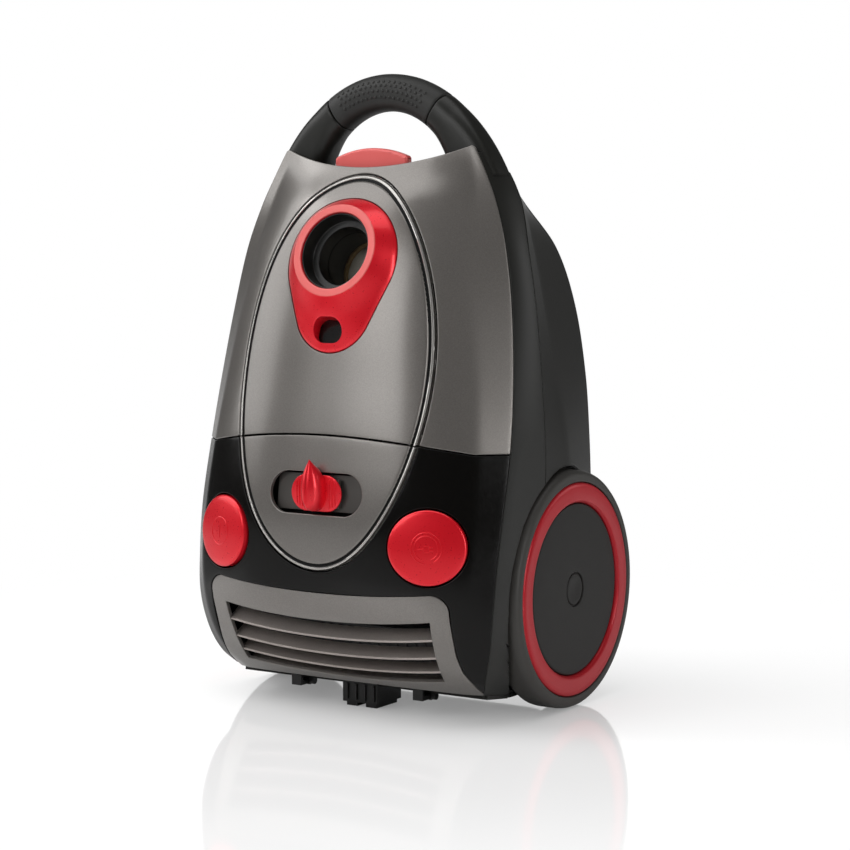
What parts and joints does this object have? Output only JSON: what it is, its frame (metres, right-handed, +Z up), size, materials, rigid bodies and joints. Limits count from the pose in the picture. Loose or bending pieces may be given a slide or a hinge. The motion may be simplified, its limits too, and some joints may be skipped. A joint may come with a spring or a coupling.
{
  "type": "canister vacuum cleaner",
  "caption": "Upright-parked bagged canister vacuum cleaner with hoop handle, hinged lid, hose inlet, round buttons, louvred exhaust and large side wheels.",
  "frame": {"origin": "centre of the bounding box's footprint, at floor level, with the cleaner standing on its rear end", "axes": "+X to the right seen from the lid side, +Y from the lid towards the belly with the caster, +Z up towards the handle"},
  "size_m": [0.2568, 0.228, 0.44],
  "materials": {
    "frame_plastic": "satin moulded",
    "grip_rubber": "soft, with raised dots",
    "cover_gloss": "glossy black",
    "grey_metallic": "metallic lacquer",
    "red_metallic": "metallic red lacquer",
    "ring_red": "metallic red lacquer",
    "tyre_black": "smooth soft tread",
    "hub_plastic": "satin moulded",
    "black_plastic": "moulded",
    "steel": "plain",
    "copper": "wound",
    "soft_rubber": "moulded",
    "board": "lacquered",
    "filter_foam": "pleated",
    "felt": "felted",
    "card": "pressed",
    "smoked_window": "smoked",
    "flag_red": "plain",
    "pale_plastic": "plain"
  },
  "bodies": {
    "body": {"rear_housing": "frame_plastic", "side_frames": "frame_plastic", "handle_frame": "frame_plastic", "handle_grip": "grip_rubber", "front_cover": "cover_gloss", "control_panel": "grey_metallic", "compartment_rim": "black_plastic", "bulkhead": "black_plastic", "hinge_brackets": "black_plastic", "hinge_pins": "steel", "rear_foot": "black_plastic", "exhaust_filter": "filter_foam", "pre_motor_filter": "felt", "motor_case": "steel", "motor_stator": "copper", "motor_mounts": "soft_rubber", "motor_cradle": "black_plastic", "reel_frame": "steel", "brake_bracket": "steel", "power_switch": "black_plastic", "control_board": "board", "slider_tray": "black_plastic", "on_off_spring": "steel", "rewind_spring": "steel", "latch_spring": "steel", "button_cups": "black_plastic", "wheel_axles": "steel", "caster_base": "black_plastic", "base_screws": "steel", "grille_ears": "black_plastic", "dust_bag": "felt", "bag_collar": "card", "bag_holder": "black_plastic"},
    "lid": {"lid_shell": "grey_metallic", "lid_oval_panel": "grey_metallic", "inlet_surround": "red_metallic", "inlet_socket": "black_plastic", "indicator_window": "smoked_window", "lid_gasket": "soft_rubber", "lid_hinge_arms": "black_plastic"},
    "latch": {"latch_button": "red_metallic"},
    "power_slide": {"power_slider": "red_metallic", "slider_carriage": "black_plastic"},
    "on_off": {"on_off_button": "red_metallic"},
    "rewind": {"rewind_button": "red_metallic"},
    "indicator": {"indicator_flag": "flag_red"},
    "brake": {"reel_brake": "black_plastic"},
    "grille": {"exhaust_grille": "grey_metallic"},
    "left_wheel": {"left_tyre": "tyre_black", "left_hub": "hub_plastic", "left_ring": "ring_red", "left_disc": "hub_plastic"},
    "right_wheel": {"right_tyre": "tyre_black", "right_hub": "hub_plastic", "right_ring": "ring_red", "right_disc": "hub_plastic"},
    "caster_swivel": {"caster_fork": "black_plastic"},
    "caster_roller": {"caster_wheel": "tyre_black"},
    "rotor": {"motor_rotor": "steel"},
    "reel": {"cord_reel": "pale_plastic"}
  },
  "joints": [
    {"name": "lid_hinge", "type": "hinge", "parent": "body", "child": "lid", "pos_m": [0, -0.0875, 0.1855], "axis": [1, 0, 0], "range_deg": [0, 58]},
    {"name": "latch_press", "type": "slide", "parent": "body", "child": "latch", "axis": [0, 0, -1], "range_m": [0, 0.005], "stiffness_N_per_m": 400, "springref_m": -0.002, "deforming": ["latch_spring"]},
    {"name": "power_slide", "type": "slide", "parent": "body", "child": "power_slide", "axis": [1, 0, 0], "range_m": [-0.015, 0.015]},
    {"name": "on_off_press", "type": "slide", "parent": "body", "child": "on_off", "axis": [0.3412, 0.9374, -0.0698], "range_m": [0, 0.004], "stiffness_N_per_m": 500, "springref_m": -0.002, "deforming": ["on_off_spring"]},
    {"name": "rewind_press", "type": "slide", "parent": "body", "child": "rewind", "axis": [-0.3412, 0.9374, -0.0698], "range_m": [0, 0.004], "stiffness_N_per_m": 500, "springref_m": -0.002, "deforming": ["rewind_spring"]},
    {"name": "brake_lift", "type": "hinge", "parent": "body", "child": "brake", "pos_m": [0.0735, -0.045, 0.154], "axis": [1, 0, 0], "range_deg": [0, 5.96]},
    {"name": "indicator_rise", "type": "slide", "parent": "lid", "child": "indicator", "axis": [0, 0.309, 0.9511], "range_m": [0, 0.005], "stiffness_N_per_m": 20, "springref_m": -0.004},
    {"name": "grille_hinge", "type": "hinge", "parent": "body", "child": "grille", "pos_m": [0, -0.042, 0.013], "axis": [1, 0, 0], "range_deg": [0, 58]},
    {"name": "left_wheel_spin", "type": "hinge", "parent": "body", "child": "left_wheel", "pos_m": [-0.12, 0.031, 0.083], "axis": [1, 0, 0], "continuous": true},
    {"name": "right_wheel_spin", "type": "hinge", "parent": "body", "child": "right_wheel", "pos_m": [0.12, 0.031, 0.083], "axis": [1, 0, 0], "continuous": true},
    {"name": "caster_turn", "type": "hinge", "parent": "body", "child": "caster_swivel", "pos_m": [0, 0.09, 0.302], "axis": [0, 1, 0], "continuous": true},
    {"name": "caster_roll", "type": "hinge", "parent": "caster_swivel", "child": "caster_roller", "pos_m": [0, 0.104, 0.294], "axis": [1, 0, 0], "continuous": true},
    {"name": "rotor_spin", "type": "hinge", "parent": "body", "child": "rotor", "pos_m": [0, -0.004, 0.12], "axis": [0, 0, 1], "continuous": true},
    {"name": "reel_turn", "type": "hinge", "parent": "body", "child": "reel", "pos_m": [0, 0.075, 0.102], "axis": [0, 1, 0], "continuous": true}
  ],
  "couplings": [
    {"joint": "brake_lift", "follows": "rewind_press", "rad_per_m": 26}
  ]
}
